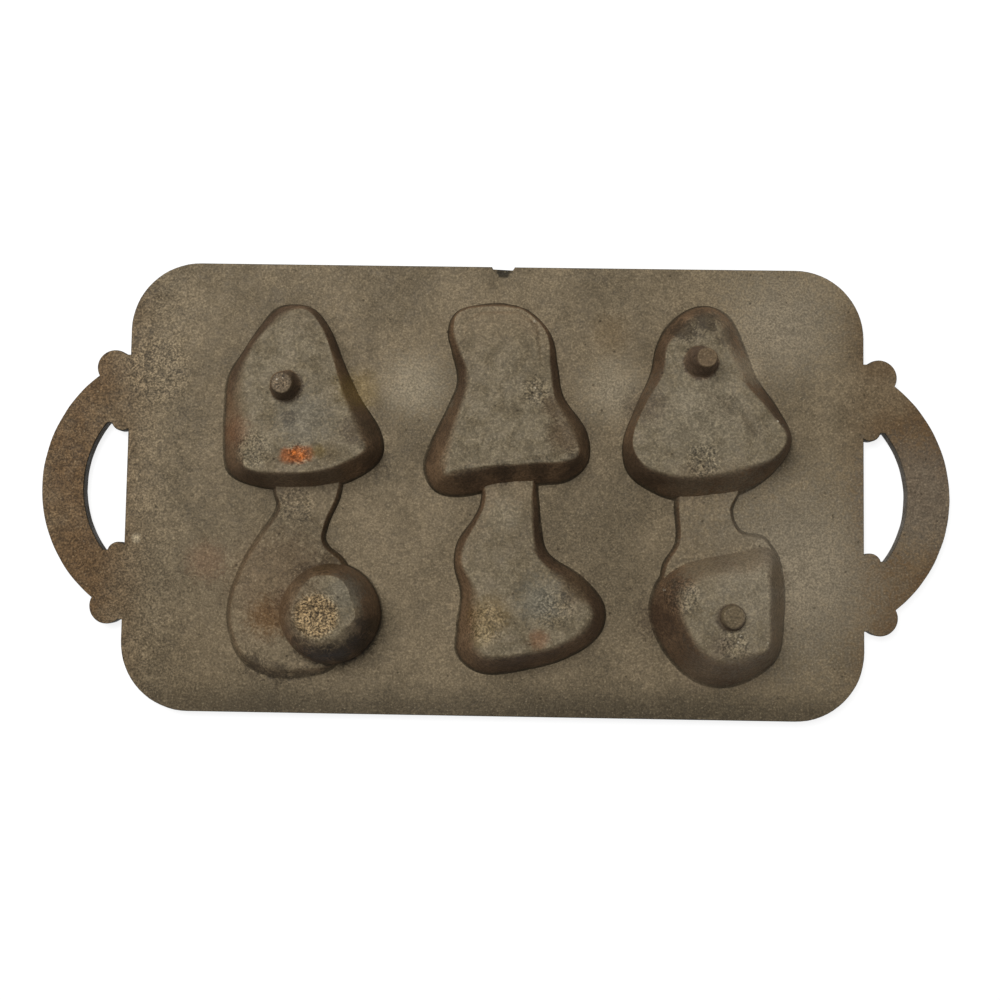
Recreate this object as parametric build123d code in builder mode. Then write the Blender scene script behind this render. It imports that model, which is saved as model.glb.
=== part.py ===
from build123d import *
from math import atan2, cos, dist, hypot, sin, sqrt
import os

# Cast iron muffin pan for three mushroom-shaped cakes, lying face down.
# Millimetres. X runs from handle to handle, Y from the stems to the cap tips, Z up.
# z = 0 is the baking face, where the hollows open. The bulges stand on the back face.
# The origin is the middle of the box round the pan, on the baking face.

# Plate
plate_thick = 5.0
corner_radius = 27.0
edge_round = 0.8
left_margin = 37.4
right_margin = 28.2
top_margin = 14.7
bottom_margin = 12.5

# Gate mark, where the iron was broken off its feeder on the top edge
gate_offset = 2.5
gate_width = 9.0
gate_depth = 3.0

# Handles, each a flat ring with a boss at both ends
handle_reach = 33.3
handle_arc = 56.0
handle_band = 16.6
grip_arc = 41.0
grip_height = 50.0
handle_drop = 1.0
boss_radius = 7.0
boss_reach = 6.0
boss_span = 94.0
root_rise = 5.3
root_depth = 12.0
lobe_radius = 4.3
lobe_reach = 2.4
lobe_drop = 3.1

# Mushrooms
figure_pitch = 79.5
wall = 4.0
neck_height = 2.5
neck_tuck = 14.0
foot_height = 19.0
crown_share = 0.5
crown_rise = 0.6

left_cap_width = 63.2
left_cap_length = 74.1
left_cap_drop = 1.5
left_cap_tip = 7.0
left_cap_rim = 14.5
left_stem_width = 49.3
left_stem_length = 72.1
left_stem_shift = -1.7

middle_cap_width = 65.1
middle_cap_length = 77.2
middle_cap_rim = 15.0
middle_stem_width = 59.0
middle_stem_length = 68.1
middle_stem_shift = 10.6
middle_stem_rim = 14.0

right_cap_width = 66.3
right_cap_length = 77.3
right_cap_tip = 8.0
right_cap_rim = 14.5
right_stem_length = 72.2
right_neck_width = 45.0
right_neck_shift = 5.0
neck_up = 29.0

# Ball on the left stem and bulb on the right stem
ball_base = 20.5
ball_flat = 9.4
ball_shift = 13.1
ball_up = 24.1
bulb_width = 52.6
bulb_length = 55.5
bulb_shift = 4.1
bulb_top = 14.0
bulb_rim = 17.0

# Foot pegs
peg_base = 5.2
peg_top = 4.3
peg_round = 0.8
left_peg_shift = -4.7
left_peg_up = 39.5
right_peg_shift = -3.9
right_peg_up = 52.8
bulb_peg_shift = 3.0
bulb_peg_up = 27.9

# How far each wall leans in for each millimetre of its height: left, right, foot, tip
left_cap_lean = (1.0, 0.6, 0.45, 0.9)
middle_cap_lean = (0.85, 0.53, 0.7, 0.8)
right_cap_lean = (0.3, 0.4, 0.66, 1.0)
middle_stem_lean = (1.0, 0.57, 0.63, 0.5)
bulb_lean = (0.86, 0.56, 0.9, 0.65)
slab_lean = (0.8, 0.8, 0.8, 0.8)

# A bulge's wall as shares of its lean and of its height, from foot to shoulder
wall_steps = ((0.0, 0.0), (0.35, 0.5), (0.68, 0.83), (1.0, 0.97))

# How much of a corner's radius a wall may take up, and how much in the left cap's hollow
corner_share = 0.7
left_hollow_corner = 0.85

# Outlines on the back face, anticlockwise, from the mushroom's middle line and its foot
left_cap_shape = [
    (-4, 74), (-12, 72.5), (-19, 64), (-25, 54.5), (-30.5, 45), (-31.6, 33), (-31.5, 18), (-29.5, 7),
    (-20.5, 2), (-5, 0), (11.5, 1.5), (24, 6.5), (31.3, 14), (30.5, 24), (22, 37.5), (15.5, 51),
    (10.5, 63), (3.5, 72),
]
middle_cap_shape = [
    (-1, 77.2), (-10, 76.8), (-20, 73.5), (-23.3, 66), (-21.5, 57), (-19.3, 46), (-23, 35.5), (-29, 22.5),
    (-32, 12), (-27.5, 2.5), (-18, 0), (-3, 3), (13, 5), (25, 7), (32.5, 15), (31.5, 27),
    (22.5, 40.5), (20.2, 52), (17.5, 64.5), (9, 74),
]
right_cap_shape = [
    (1, 77.3), (-7, 76.3), (-15.5, 70), (-20.2, 61), (-22.5, 50), (-28.5, 36), (-33, 22), (-30.5, 10.5),
    (-20, 3), (-10, 0.3), (3, 1), (15, 4), (27, 13), (33.1, 24.5), (28, 37), (19.7, 49),
    (15, 61), (9, 73),
]
left_stem_shape = [
    (4, 86.1), (-7, 83.5), (-9.7, 73), (-8.5, 66.5), (-14, 57.5), (-21, 45.5), (-26, 31), (-26, 19),
    (-20.5, 6.5), (-9, 0.2), (5, 0.3), (15.5, 3.7), (20.5, 12), (22, 26), (23, 38), (19, 46.5),
    (11.5, 53), (10.5, 60), (15, 71.5), (15, 82),
]
middle_stem_shape = [
    (4, 82.1), (-7, 79), (-7.6, 69), (-9.5, 60), (-16.5, 51), (-18, 42), (-15.8, 31), (-17.8, 18),
    (-17, 6), (-6, 0), (11, 1.8), (27, 7), (38.5, 16), (40, 27.5), (31, 38.8), (18.5, 47.5),
    (14.5, 59), (13.5, 69), (12, 79),
]
right_neck_shape = [
    (1, 86.2), (-10, 83), (-12.8, 72), (-12.3, 57), (-17.5, 47), (-17, 36), (-5, 30), (12, 29.5),
    (24, 38), (27.5, 50), (23, 59), (13.5, 61.7), (10.4, 69), (13, 79),
]
bulb_shape = [
    (-5, 50), (-17, 44), (-22.3, 33), (-21, 22), (-14, 10), (-4, 2), (7, 0), (19, 4),
    (28, 12.5), (30.3, 27), (30, 43), (25, 55), (12, 53.5),
]

# Worked out from the sizes above
half_length = (left_margin + left_cap_width / 2 + 2 * figure_pitch + right_cap_width / 2 + right_margin) / 2
figure_length = max(
    left_cap_drop + left_cap_length + left_stem_length,
    middle_cap_length + middle_stem_length,
    right_cap_length + right_stem_length,
)
half_width = (top_margin + figure_length + bottom_margin) / 2
tip_line = half_width - top_margin
left_line = left_margin + left_cap_width / 2 - half_length
middle_line = left_line + figure_pitch
right_line = middle_line + figure_pitch
bulb_line = right_line + bulb_shift
left_cap_foot = tip_line - left_cap_drop - left_cap_length
middle_cap_foot = tip_line - middle_cap_length
right_cap_foot = tip_line - right_cap_length
left_stem_foot = left_cap_foot - left_stem_length
middle_stem_foot = middle_cap_foot - middle_stem_length
right_stem_foot = right_cap_foot - right_stem_length


def lay_out(shape, middle, foot, width, length):
    """Sets a drawn outline to its own width and length, with its foot and middle in place."""
    left = min(x for x, y in shape)
    low = min(y for x, y in shape)
    drawn_width = max(x for x, y in shape) - left
    drawn_length = max(y for x, y in shape) - low
    return [
        (middle + ((x - left) / drawn_width - 0.5) * width, foot + (y - low) / drawn_length * length)
        for x, y in shape
    ]


def draw_in(outline, distances, share):
    """Draws each point in along its normal, by no more than that share of a corner's radius."""
    drawn = []
    for number, point in enumerate(outline):
        before = outline[number - 1]
        after = outline[(number + 1) % len(outline)]
        chord = (after[0] - before[0], after[1] - before[1])
        span = hypot(*chord)
        turn = (point[0] - before[0]) * (after[1] - point[1]) - (point[1] - before[1]) * (after[0] - point[0])
        room = dist(point, before) * dist(after, point) * span / (2 * max(turn, 0.01))
        step = min(distances[number], share * room)
        drawn.append((point[0] - chord[1] / span * step, point[1] + chord[0] / span * step))
    return drawn


def outward(outline):
    """Gives the outward normal at each point of an anticlockwise outline."""
    normals = []
    for number in range(len(outline)):
        before = outline[number - 1]
        after = outline[(number + 1) % len(outline)]
        span = dist(before, after)
        normals.append(((after[1] - before[1]) / span, (before[0] - after[0]) / span))
    return normals


def bulge(outline, low_height, high_height, lean, crown, inset=0.0, corner=corner_share):
    """A bulge of the back face with the plate under it, or its hollow, one wall further in.

    Its top falls evenly from high_height at the outline's foot to low_height at its tip.
    A crown is the share of the way in to the middle where the top stops rising, and corner
    is the share of a tight corner's radius that the wall may take up.
    """
    foot = min(y for x, y in outline)
    length = max(y for x, y in outline) - foot
    slope = (low_height - high_height) / length
    left, right, bottom, top = lean
    runs = []
    for (x, y), (across, along) in zip(outline, outward(outline)):
        side = right if across > 0 else left
        end = top if along > 0 else bottom
        height = high_height + slope * (y - foot)
        runs.append(height * (side * across**2 + end * along**2))

    level = plate_thick - inset
    rings = []
    for lean_share, height_share in wall_steps:
        drawn = draw_in(outline, [inset + lean_share * run for run in runs], corner)
        rings.append((level, height_share, drawn))
    mouth = rings[0][2]
    if crown:
        middle_x = sum(x for x, y in drawn) / len(drawn)
        middle_y = sum(y for x, y in drawn) / len(drawn)
        inner = [(x + crown * (middle_x - x), y + crown * (middle_y - y)) for x, y in drawn]
        rings.append((level + crown_rise, 1.0, inner))

    with BuildPart() as body:
        for base, share, drawn in rings:
            tilt = slope * share
            plane = Plane(origin=(0, foot, base + high_height * share), x_dir=(1, 0, 0), z_dir=(0, -tilt, 1))
            with BuildSketch(plane):
                with BuildLine():
                    Spline([(x, (y - foot) * sqrt(1 + tilt**2)) for x, y in drawn], periodic=True)
                make_face()
        loft()
        with BuildSketch():
            with BuildLine():
                Spline(mouth, periodic=True)
            make_face()
        extrude(amount=level)
    return body.part


def ball(middle, inset=0.0):
    """A ball that stands on the back face and is ground flat at the foot plane, or its hollow."""
    rise = (ball_flat**2 + foot_height**2 - ball_base**2) / (2 * foot_height)
    radius = hypot(ball_base, rise) - inset
    top = foot_height - inset - rise
    flat = sqrt(radius**2 - top**2)
    foot = sqrt(radius**2 - rise**2)
    low = plate_thick + rise
    x, y = middle
    with BuildPart() as body:
        with BuildSketch(Plane(origin=(x, y, 0), x_dir=(1, 0, 0), z_dir=(0, -1, 0))):
            with BuildLine():
                slant = (atan2(-rise, foot) + atan2(top, flat)) / 2
                half_way = (radius * cos(slant), low + radius * sin(slant))
                ThreePointArc((foot, plate_thick), half_way, (flat, low + top))
                Polyline((flat, low + top), (0, low + top), (0, 0), (foot, 0), (foot, plate_thick))
            make_face()
        revolve(axis=Axis((x, y, 0), (0, 0, 1)))
    return body.part


def grip_opening(side):
    """The finger hole of the handle on side -1 or 1, with a small lobe at both ends."""
    lobe_x = side * (half_length + lobe_reach)
    lobe_y = grip_height / 2 + lobe_radius - lobe_drop
    with BuildSketch() as opening:
        with Locations((side * (half_length + handle_reach - handle_band - grip_arc), -handle_drop)):
            Circle(grip_arc)
        with Locations((side * (half_length + grip_arc), -handle_drop)):
            Rectangle(2 * grip_arc, grip_height, mode=Mode.INTERSECT)
        with Locations((lobe_x, lobe_y - handle_drop), (lobe_x, -lobe_y - handle_drop)):
            Circle(lobe_radius, mode=Mode.SUBTRACT)
    return opening.sketch


def foot_peg(middle, cap):
    """A tapered peg from a bulge's crown up to the foot plane."""
    with BuildPart() as peg:
        with Locations((*middle, plate_thick)):
            Cone(peg_base, peg_top, foot_height, align=(Align.CENTER, Align.CENTER, Align.MIN))
        fillet(peg.edges().group_by(Axis.Z)[-1], peg_round)
        add(cap, mode=Mode.SUBTRACT)
    return peg.part


# Outlines in place
left_cap_outline = lay_out(left_cap_shape, left_line, left_cap_foot, left_cap_width, left_cap_length)
middle_cap_outline = lay_out(
    middle_cap_shape, middle_line, middle_cap_foot, middle_cap_width, middle_cap_length
)
right_cap_outline = lay_out(right_cap_shape, right_line, right_cap_foot, right_cap_width, right_cap_length)
left_stem_outline = lay_out(
    left_stem_shape,
    left_line + left_stem_shift,
    left_stem_foot,
    left_stem_width,
    left_stem_length + neck_tuck,
)
middle_stem_outline = lay_out(
    middle_stem_shape,
    middle_line + middle_stem_shift,
    middle_stem_foot,
    middle_stem_width,
    middle_stem_length + neck_tuck,
)
right_neck_outline = lay_out(
    right_neck_shape,
    right_line + right_neck_shift,
    right_stem_foot + neck_up,
    right_neck_width,
    right_stem_length + neck_tuck - neck_up,
)
bulb_outline = lay_out(bulb_shape, bulb_line, right_stem_foot, bulb_width, bulb_length)
ball_middle = (left_line + ball_shift, left_stem_foot + ball_up)

# Bulges with the plate under them, and the hollows that the batter fills
left_cap_form = (left_cap_outline, left_cap_tip, left_cap_rim, left_cap_lean, crown_share)
middle_cap_form = (middle_cap_outline, neck_height, middle_cap_rim, middle_cap_lean, crown_share)
right_cap_form = (right_cap_outline, right_cap_tip, right_cap_rim, right_cap_lean, crown_share)
left_stem_form = (left_stem_outline, neck_height, neck_height, slab_lean, 0)
middle_stem_form = (middle_stem_outline, neck_height, middle_stem_rim, middle_stem_lean, 0)
right_neck_form = (right_neck_outline, neck_height, neck_height, slab_lean, 0)
bulb_form = (bulb_outline, bulb_top, bulb_rim, bulb_lean, crown_share)

left_cap = bulge(*left_cap_form)
middle_cap = bulge(*middle_cap_form)
right_cap = bulge(*right_cap_form)
left_stem = bulge(*left_stem_form)
middle_stem = bulge(*middle_stem_form)
right_neck = bulge(*right_neck_form)
bulb = bulge(*bulb_form)
left_ball = ball(ball_middle)

left_cap_hollow = bulge(*left_cap_form, inset=wall, corner=left_hollow_corner)
middle_cap_hollow = bulge(*middle_cap_form, inset=wall)
right_cap_hollow = bulge(*right_cap_form, inset=wall)
left_stem_hollow = bulge(*left_stem_form, inset=wall)
middle_stem_hollow = bulge(*middle_stem_form, inset=wall)
right_neck_hollow = bulge(*right_neck_form, inset=wall)
bulb_hollow = bulge(*bulb_form, inset=wall)
ball_hollow = ball(ball_middle, inset=wall)

# Plate with both handles, cut off the deck at its ends
grip_openings = [grip_opening(side) for side in (-1, 1)]
arc_rise = sqrt(handle_arc**2 - (handle_arc - handle_reach) ** 2)
gate_radius = (gate_width**2 / 4 + gate_depth**2) / (2 * gate_depth)
with BuildPart() as plate:
    with BuildSketch():
        RectangleRounded(2 * half_length, 2 * half_width, corner_radius)
        for side in (-1, 1):
            with Locations((side * (half_length + handle_reach - handle_arc), -handle_drop)):
                Circle(handle_arc)
            for end in (-1, 1):
                boss_y = end * boss_span / 2 - handle_drop
                with Locations((side * (half_length + boss_reach), boss_y)):
                    Circle(boss_radius)
                root_top = max(boss_span / 2 + root_rise, arc_rise)
                root_y = end * (root_top - root_depth / 2) - handle_drop
                with Locations((side * (half_length + boss_reach / 2), root_y)):
                    Rectangle(boss_reach, root_depth)
        for opening in grip_openings:
            add(opening, mode=Mode.SUBTRACT)
        with Locations((gate_offset, half_width + gate_radius - gate_depth)):
            Circle(gate_radius, mode=Mode.SUBTRACT)
    extrude(amount=plate_thick)
    fillet(plate.edges().filter_by(Plane.XY), edge_round)

with BuildPart() as handles:
    add(plate.part)
    Box(2 * half_length, 3 * half_width, 3 * plate_thick, mode=Mode.SUBTRACT)
handle_left, handle_right = handles.solids().sort_by(Axis.X)

with BuildPart() as deck:
    add(plate.part)
    Box(2 * half_length, 3 * half_width, 3 * plate_thick, mode=Mode.INTERSECT)
    for solid in (left_cap, middle_cap, right_cap, left_stem, middle_stem, right_neck, bulb, left_ball):
        add(solid, mode=Mode.SUBTRACT)


def shell(solid, *cuts):
    """A bulge less the hollows and the neighbours that lie in it."""
    with BuildPart() as body:
        add(solid)
        for cut in cuts:
            add(cut, mode=Mode.SUBTRACT)
    return body.part


pieces = {
    "deck": deck.part,
    "handle_left": handle_left,
    "handle_right": handle_right,
    "cap_left": shell(left_cap, left_cap_hollow, left_stem_hollow),
    "cap_middle": shell(middle_cap, middle_cap_hollow, middle_stem_hollow),
    "cap_right": shell(right_cap, right_cap_hollow, right_neck_hollow),
    "stem_left": shell(left_stem, left_cap, left_ball, left_stem_hollow),
    "stem_middle": shell(middle_stem, middle_cap, middle_stem_hollow),
    "stem_right": shell(right_neck, right_cap, bulb, right_neck_hollow),
    "ball_left": shell(left_ball, ball_hollow, left_stem_hollow),
    "bulb_right": shell(bulb, bulb_hollow, right_neck_hollow),
    "foot_peg_left": foot_peg((left_line + left_peg_shift, left_cap_foot + left_peg_up), left_cap),
    "foot_peg_right": foot_peg((right_line + right_peg_shift, right_cap_foot + right_peg_up), right_cap),
    "foot_peg_stem": foot_peg((bulb_line + bulb_peg_shift, right_stem_foot + bulb_peg_up), bulb),
}

os.makedirs("parts", exist_ok=True)
for name, piece in pieces.items():
    piece.label = name
    export_step(piece, f"parts/{name}.step")
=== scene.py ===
import bpy
import bmesh
from math import acos, cos, exp, hypot, pi, sin
from mathutils import Euler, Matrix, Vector, noise
from mathutils.geometry import interpolate_bezier
from mathutils.kdtree import KDTree


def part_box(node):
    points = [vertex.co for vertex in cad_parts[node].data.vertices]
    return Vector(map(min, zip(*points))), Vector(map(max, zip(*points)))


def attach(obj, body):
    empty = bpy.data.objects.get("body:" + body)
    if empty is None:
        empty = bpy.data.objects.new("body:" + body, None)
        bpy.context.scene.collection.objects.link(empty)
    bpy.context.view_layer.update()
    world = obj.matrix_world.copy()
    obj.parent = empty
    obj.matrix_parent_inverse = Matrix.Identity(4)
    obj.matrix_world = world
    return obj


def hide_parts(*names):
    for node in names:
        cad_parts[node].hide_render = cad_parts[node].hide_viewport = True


# Cast iron pan for three mushroom-shaped cakes, lying face down on a pale floor.
# Sizes are millimetres unless a line says otherwise, and meshes are turned to metres at the end.
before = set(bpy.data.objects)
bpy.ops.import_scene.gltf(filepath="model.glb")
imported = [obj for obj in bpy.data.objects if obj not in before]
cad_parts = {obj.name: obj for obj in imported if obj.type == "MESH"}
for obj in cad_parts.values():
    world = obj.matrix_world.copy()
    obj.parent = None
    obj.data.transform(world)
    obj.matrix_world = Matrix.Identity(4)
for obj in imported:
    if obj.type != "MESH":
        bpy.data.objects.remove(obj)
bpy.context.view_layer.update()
mm = 0.001


def nodeBox(name):
    low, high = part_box(name)
    return low / mm, high / mm


halfLength, halfWidth, plateTop = nodeBox("deck")[1]
footTop = nodeBox("foot_peg_left")[1].z
handleEnd = nodeBox("handle_right")[1].x

casting = {
    "wall": 4.0,          # iron between a bulge and its hollow
    "ceilingInset": 3.8,  # how much further in a hollow's ceiling begins than its bulge's crown
    "mouthRound": 1.2,    # rounding of a hollow's mouth on the baking face
    "overlap": 1.0,       # how far a cutter reaches past the face that it cuts
    "filling": 1.5,       # how far the plate is filled past a bulge's foot, before the bulge is cut from it
    "spanSteps": 14,      # points along each span of an outline
    "crownGrid": 0.65,
    "hollowGrid": 2.5,
    "deckGrid": 1.3,
    "offGrid": 0.37,      # keeps a grid's cuts off the outline's own points
    "crownEdge": 0.6,     # the crown's relief begins this far inside its edge
    "crownSettle": 2.5,   # and is nearly full after this far
    "crownWaves": ((2.0, 13, 6.5), (0.6, 4.5, 2.5), (0.2, 1.6, 8.5)),  # each (height, size, seed)
    "wallWaves": ((0.35, 7, 9.5, 0), (0.14, 2.4, 3.5, 9)),  # each (push, size, seed, shift up the wall)
    "wallRough": 0.3,     # the roughness that the walls' waves are given for
    "weld": 2e-4,         # points closer than this become one
    "smoothAngle": 0.6,   # radians, edges sharper than this stay crisp
}
# A mark or a crease fades like a bell, and stops where little is left of it
markReach = 6.0  # in squared radii
creaseReach = 2.5  # in widths


def waves(x, y, size, seed):
    # Smooth noise from about -1 to 1, with lumps of the given size
    return noise.noise(Vector((x / size, y / size, seed)))


def relief(x, y, piece):
    # Dents and specks, each (x, y, radius, height), and creases, each (width, height, line of points)
    height = 0.0
    for markX, markY, radius, rise in piece.get("marks", ()):
        near = ((x - markX) ** 2 + (y - markY) ** 2) / radius**2
        if near < markReach:
            height += rise * exp(-near)
    here = Vector((x, y))
    for width, rise, line in piece.get("creases", ()):
        nearest = creaseReach
        for start, end in zip(line, line[1:]):
            start = Vector(start)
            along = Vector(end) - start
            share = min(1.0, max(0.0, (here - start).dot(along) / along.length_squared))
            nearest = min(nearest, (here - start - along * share).length / width)
        if nearest < creaseReach:
            height += rise * exp(-nearest * nearest)
    return height


plate = {
    "settle": 0.17,  # how far the sand cast top lies below its highest points
    "slowWave": 0.11,
    "slowSize": 32,
    "quickWave": 0.05,
    "quickSize": 8,
    "edgeWave": 0.18,  # how far the outer edge wanders inwards
    "edgeSize": 7,
    "marks": [
        (104.1, -12.1, 1.1, -0.5), (-114, 82.3, 1.3, -0.5), (-24.8, -3.5, 2, -0.35),
        (-24.8, -3.5, 0.8, 0.3), (-139.9, -21.4, 1.5, -0.25), (36.8, 83, 1.2, 0.25),
        (48.6, 84, 1.4, 0.25), (62, -60, 1.6, -0.3), (-33, -55, 1.8, -0.3),
        (-128, 40, 1.5, -0.3), (126, 30, 1.4, -0.3), (122, -58, 2, -0.3),
    ],
    "creases": [(0.7, 0.2, [(33, 82.6), (41, 82.9)]), (0.7, 0.2, [(44, 84.2), (52, 83.6)])],
}


def deckHeight(x, y):
    height = plateTop - plate["settle"] + plate["slowWave"] * waves(x, y, plate["slowSize"], 1.5)
    height += plate["quickWave"] * waves(x, y, plate["quickSize"], 4.5) + relief(x, y, plate)
    return min(height, plateTop)


# Bulges: outlines on the back face, anticlockwise from the mushroom's own middle line and foot.
# Each point is (x, y, run of the wall, share of the wall that is a soft shoulder).
capLeft = {
    "node": "cap_left",
    "width": 63.2,
    "length": 74.1,
    "tip": 7.0,   # height of the shoulder over the plate, at the tip and at the foot
    "rim": 14.5,
    "dome": 1.8,  # rise of the crown inside its shoulder, and about how far in it takes
    "domeReach": 11.0,
    "rough": 0.42,  # strength of the sand cast relief
    "outline": [
        (-4, 74, 4.5, 0.6), (-12, 72.5, 8, 0.6), (-19, 64, 6, 0.6), (-25, 54.5, 6.5, 0.6),
        (-30.5, 45, 10.5, 0.7), (-31.6, 33, 12.7, 0.75), (-31.5, 18, 13.3, 0.75), (-29.5, 7, 12.5, 0.7),
        (-20.5, 2, 6.5, 0.5), (-5, 0, 6.5, 0.3), (11.5, 1.5, 6.4, 0.3), (24, 6.5, 6.6, 0.4),
        (31.3, 14, 6, 0.75), (30.5, 24, 8, 0.85), (22, 37.5, 5.5, 0.85), (15.5, 51, 3, 0.7),
        (10.5, 63, 2.5, 0.6), (3.5, 72, 2.8, 0.6),
    ],
    "marks": [
        (-78.3, 25.4, 2.2, -0.3), (-75.3, 11.6, 3.4, -0.4), (-70, 11.3, 2.4, 0.35),
        (-72.5, 24.7, 6, 0.35), (-60, 30, 4, -0.35), (-88, 20, 4, 0.3),
        (-84, 50, 4, -0.3), (-66, 45, 5, 0.25), (-90, 9, 3, -0.4),
        (-96, 33, 2.6, -0.3),
    ],
}
capMiddle = {
    "node": "cap_middle",
    "width": 65.1,
    "length": 77.2,
    "shift": 0.4,
    "tip": 2.5,
    "rim": 15.0,
    "dome": 1.9,
    "domeReach": 12.0,
    "rough": 0.42,
    "outline": [
        (-1, 77.2, 2.3, 0.5), (-10, 76.8, 2, 0.5), (-20, 73.5, 1.8, 0.5), (-23.3, 66, 3, 0.6),
        (-21.5, 57, 3.8, 0.7), (-19.3, 46, 5.7, 0.75), (-23, 35.5, 7, 0.75), (-29, 22.5, 10.5, 0.6),
        (-32, 12, 11.5, 0.5), (-27.5, 2.5, 9, 0.45), (-18, 0, 9.7, 0.35), (-3, 3, 9, 0.2),
        (13, 5, 8.4, 0.15), (25, 7, 7.9, 0.2), (32.5, 15, 5.5, 0.5), (31.5, 27, 6.7, 0.7),
        (22.5, 40.5, 4.5, 0.7), (20.2, 52, 3.9, 0.6), (17.5, 64.5, 2.3, 0.5), (9, 74, 1.9, 0.5),
    ],
    "marks": [
        (13.5, 64.8, 0.9, 0.45), (15.6, 38.6, 0.9, 0.5), (17.8, 36.6, 0.8, 0.45), (16.4, 34.5, 0.7, 0.35),
        (2, 40, 6, -0.4), (10, 25, 5, 0.4), (-8, 30, 5, 0.35), (0, 58, 5, -0.25),
        (-3, 14, 3.5, -0.35), (20, 16, 3, -0.3),
    ],
    "creases": [
        (0.6, -0.22, [(14, 21), (24, 25)]), (0.6, -0.18, [(16, 18.5), (26, 22)]),
        (0.7, -0.4, [(-13, 57), (-11.5, 66), (-6.4, 69.6), (9.3, 70), (16.4, 65), (18.2, 50.1)]),
        (0.9, 0.4, [(-15.6, 6.4), (-1.2, 8.6), (13.9, 12), (29, 14.6)]),  # lip over the foot
    ],
}
capRight = {
    "node": "cap_right",
    "width": 66.3,
    "length": 77.3,
    "tip": 8.0,
    "rim": 14.5,
    "dome": 1.8,
    "domeReach": 11.0,
    "rough": 0.45,
    "outline": [
        (1, 77.3, 7.3, 0.75), (-7, 76.3, 6.8, 0.75), (-15.5, 70, 7.5, 0.75), (-20.2, 61, 4, 0.85),
        (-22.5, 50, 4.5, 0.75), (-28.5, 36, 2.6, 0.5), (-33, 22, 2.8, 0.5), (-30.5, 10.5, 5.7, 0.5),
        (-20, 3, 8.2, 0.35), (-10, 0.3, 9.5, 0.25), (3, 1, 10, 0.25), (15, 4, 10.3, 0.3), (27, 13, 6, 0.5),
        (33.1, 24.5, 5.5, 0.7), (28, 37, 7.5, 0.4), (19.7, 49, 8.5, 0.3), (15, 61, 9.5, 0.4),
        (9, 73, 9, 0.7),
    ],
    "marks": [
        (78.4, 42.9, 1, 0.5), (80.6, 41.6, 0.9, 0.4), (82.9, 40.6, 1, 0.45), (91.7, 31.5, 3, -0.5),
        (99.3, 27.8, 3, -0.5), (104.3, 25.2, 2.4, -0.35), (108.1, 26.8, 0.9, 0.5), (75.5, 11.4, 1.2, -0.35),
        (79, 13.2, 1, -0.35), (83, 10.8, 1.1, -0.35), (86.9, 12.3, 1.2, -0.35), (70, 26, 5, 0.35),
        (62, 20, 3, -0.3), (84, 54, 4, -0.3), (95, 15, 3.5, 0.3), (95.8, 29.1, 1.6, -0.5),
    ],
    "creases": [
        (0.8, 0.45, [(86, 47.5), (93, 43.3), (103.4, 32.7)]),
        (1.9, -0.6, [(80.1, 39.3), (93, 33.4), (100.3, 22.7)]),
        (1.5, 0.45, [(76, 33), (81.5, 29.3), (95.6, 17.3)]),
    ],
}
stemLeft = {
    "node": "stem_left",
    "width": 49.3,
    "length": 86.1,
    "tip": 2.5,
    "rim": 2.5,
    "dome": 0.25,
    "domeReach": 5.0,
    "rough": 0.12,
    "outline": [
        (4, 86.1, 2, 0.3), (-7, 83.5, 2, 0.3), (-9.7, 73, 2, 0.3), (-8.5, 66.5, 3, 0.3),
        (-14, 57.5, 3.3, 0.3), (-21, 45.5, 3.2, 0.4), (-26, 31, 3, 0.4), (-26, 19, 3.2, 0.4),
        (-20.5, 6.5, 3.8, 0.4), (-9, 0.2, 4.6, 0.4), (5, 0.3, 4.2, 0.4), (15.5, 3.7, 3, 0.3),
        (20.5, 12, 2, 0.3), (22, 26, 2, 0.3), (23, 38, 2, 0.3), (19, 46.5, 2.2, 0.3),
        (12.1, 53, 2, 0.3), (12.7, 60, 1.8, 0.3), (17.2, 71.5, 1.8, 0.3), (16.5, 82, 1.8, 0.3),
    ],
    "marks": [(-88, -35, 5, 0.2), (-72, -22, 4, -0.2)],
    "creases": [
        (0.7, -0.5, [(-69.8, -13.3), (-66.4, -17.9), (-64, -21.8)]),
        (0.5, -0.25, [(-76, -6), (-72, -7.6)]), (0.5, -0.25, [(-73, -7), (-69.4, -9.4)]),
    ],
}
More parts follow.
